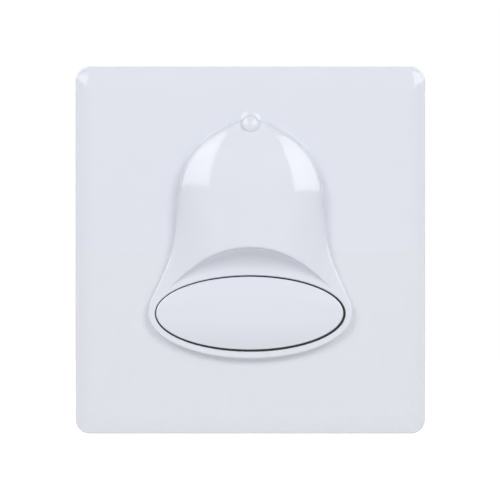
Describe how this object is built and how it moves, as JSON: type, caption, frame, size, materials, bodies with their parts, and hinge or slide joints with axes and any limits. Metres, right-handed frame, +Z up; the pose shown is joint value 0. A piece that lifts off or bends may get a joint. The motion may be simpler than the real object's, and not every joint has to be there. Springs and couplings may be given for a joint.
{
  "type": "doorbell push button",
  "caption": "Flush wall bell push: a rounded square plate with a bell in relief, its mouth an oval sprung push button, on a steel frame with a contact mechanism behind.",
  "frame": {"origin": "midway between the two box screws, on the wall plane", "axes": "+Z up, the front faces -Y, +Y into the wall, +X to the right seen from the front"},
  "size_m": [0.081, 0.0347, 0.085],
  "materials": {
    "cover_plastic": "glossy white moulded plastic",
    "button_plastic": "glossy white moulded plastic",
    "frame_steel": "zinc plated pressed steel",
    "case_plastic": "dark grey moulded plastic",
    "plunger_plastic": "natural white acetal",
    "contact_brass": "plain rolled brass",
    "contact_silver": "silver contact rivet",
    "spring_steel": "spring wire",
    "screw_steel": "zinc plated steel"
  },
  "bodies": {
    "housing": {"front_cover": "cover_plastic", "mounting_frame": "frame_steel", "mechanism_case": "case_plastic", "mechanism_lid": "case_plastic", "return_spring": "spring_steel", "fixed_tip_left": "contact_silver", "fixed_contact_left": "contact_brass", "terminal_clamp_left": "contact_brass", "terminal_screw_left": "screw_steel", "lid_screw_left": "screw_steel", "fixed_tip_right": "contact_silver", "fixed_contact_right": "contact_brass", "terminal_clamp_right": "contact_brass", "terminal_screw_right": "screw_steel", "lid_screw_right": "screw_steel"},
    "button": {"push_button": "button_plastic", "plunger": "plunger_plastic", "contact_bridge": "contact_brass", "bridge_clip": "spring_steel", "bridge_tip_left": "contact_silver", "bridge_tip_right": "contact_silver"}
  },
  "joints": [
    {"name": "button_press", "type": "slide", "parent": "housing", "child": "button", "axis": [0, 1, 0], "range_m": [0, 0.002], "stiffness_N_per_m": 400, "springref_m": -0.003, "deforming": ["return_spring"]}
  ]
}
